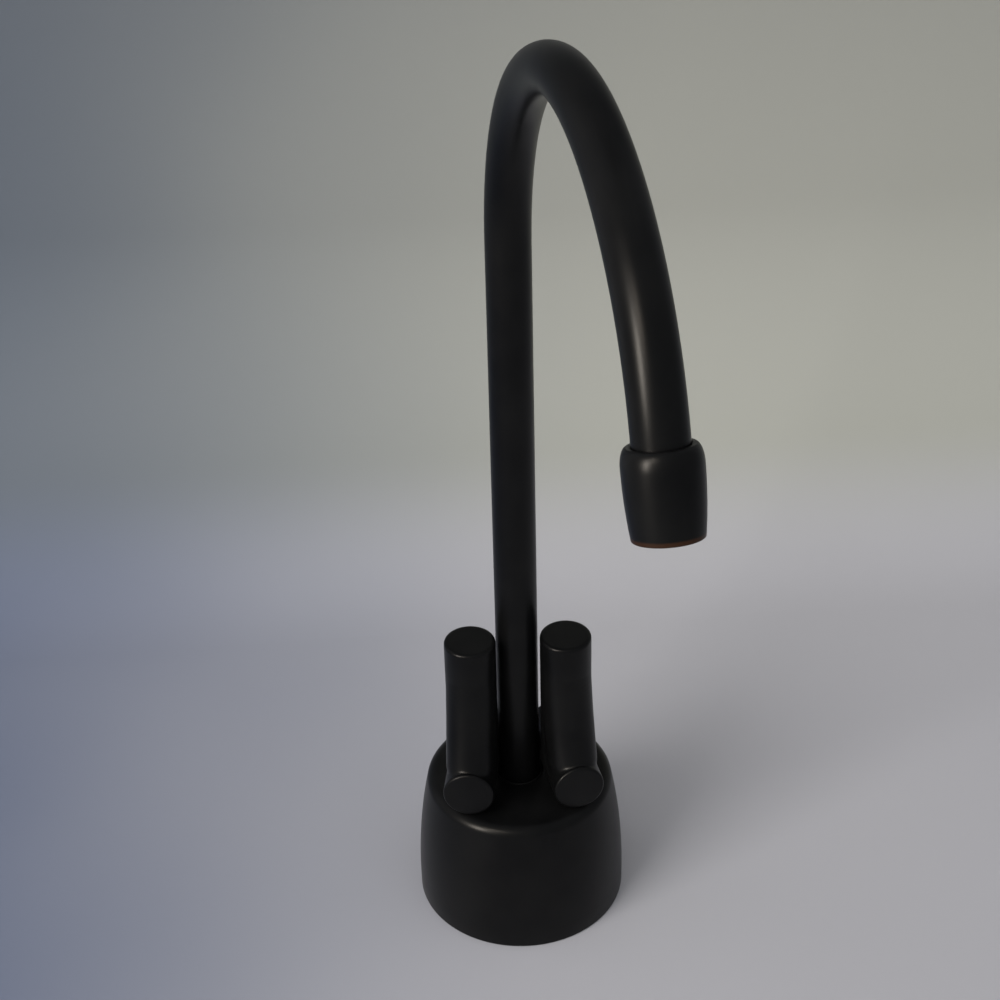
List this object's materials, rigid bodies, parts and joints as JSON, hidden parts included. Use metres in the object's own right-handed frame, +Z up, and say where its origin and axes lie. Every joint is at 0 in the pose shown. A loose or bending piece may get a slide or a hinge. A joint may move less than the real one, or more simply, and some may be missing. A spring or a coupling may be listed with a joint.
{
  "type": "boiling water tap",
  "caption": "Boiling water tap: swan-neck swivel spout with a bell-shaped outlet, and upright hot and cold levers on a round, tapered base.",
  "frame": {"origin": "middle of the base's underside, on the worktop", "axes": "+Z up; -Y towards the user; +X to the user's right"},
  "size_m": [0.0618, 0.1784, 0.2933],
  "materials": {
    "black_coat": "satin black powder coat",
    "steel": "plain stainless steel",
    "brass": "machined brass",
    "seal_rubber": "matt black rubber",
    "silicone": "translucent white silicone",
    "bearing_plastic": "black acetal"
  },
  "bodies": {
    "base": {"base_shell": "black_coat", "base_plate": "steel", "base_seal": "seal_rubber", "valve_block": "brass", "plate_screw_1": "steel", "plate_screw_2": "steel", "plate_screw_3": "steel", "spout_bearing": "bearing_plastic", "swivel_stop_screw": "steel", "hot_inlet_bush": "brass", "cold_inlet_bush": "brass", "hot_bracket": "black_coat", "cold_bracket": "black_coat", "hot_bracket_screw": "steel", "cold_bracket_screw": "steel", "hot_gland": "brass", "cold_gland": "brass", "hot_stem_seal": "seal_rubber", "cold_stem_seal": "seal_rubber", "hot_return_spring": "steel", "cold_return_spring": "steel"},
    "spout": {"spout_tube": "black_coat", "spout_spigot": "brass", "spigot_seal_upper": "seal_rubber", "spigot_seal_lower": "seal_rubber", "hot_tube": "silicone", "outlet_bell": "black_coat", "flow_straightener": "steel", "outlet_washer": "seal_rubber"},
    "hot_lever_arm": {"hot_lever": "black_coat", "hot_hub_cap": "black_coat", "hot_lever_screw": "steel", "hot_spindle": "steel"},
    "cold_lever_arm": {"cold_lever": "black_coat", "cold_hub_cap": "black_coat", "cold_lever_screw": "steel", "cold_spindle": "steel"},
    "hot_valve_stem": {"hot_stem": "steel", "hot_valve_washer": "seal_rubber"},
    "cold_valve_stem": {"cold_stem": "steel", "cold_valve_washer": "seal_rubber"}
  },
  "joints": [
    {"name": "spout_swivel", "type": "hinge", "parent": "base", "child": "spout", "pos_m": [0, 0, 0.043], "axis": [0, 0, 1], "range_deg": [-68.6, 51.4]},
    {"name": "hot_lever_turn", "type": "hinge", "parent": "base", "child": "hot_lever_arm", "pos_m": [-0.0136, -0.0049, 0.0509], "axis": [-0.1685, -0.9857, 0], "range_deg": [0, 60], "stiffness_Nm_per_rad": 0.12, "springref_deg": -11.46},
    {"name": "cold_lever_turn", "type": "hinge", "parent": "base", "child": "cold_lever_arm", "pos_m": [0.0136, -0.0049, 0.0509], "axis": [-0.1685, 0.9857, 0], "range_deg": [0, 60]},
    {"name": "hot_stem_slide", "type": "slide", "parent": "base", "child": "hot_valve_stem", "axis": [0, 0, -1], "range_m": [0, 0.0011], "deforming": ["hot_return_spring"]},
    {"name": "cold_stem_slide", "type": "slide", "parent": "base", "child": "cold_valve_stem", "axis": [0, 0, -1], "range_m": [0, 0.0011], "deforming": ["cold_return_spring"]}
  ],
  "couplings": [
    {"joint": "hot_stem_slide", "follows": "hot_lever_turn", "m_per_rad": 0.00105},
    {"joint": "cold_stem_slide", "follows": "cold_lever_turn", "m_per_rad": 0.00105}
  ]
}
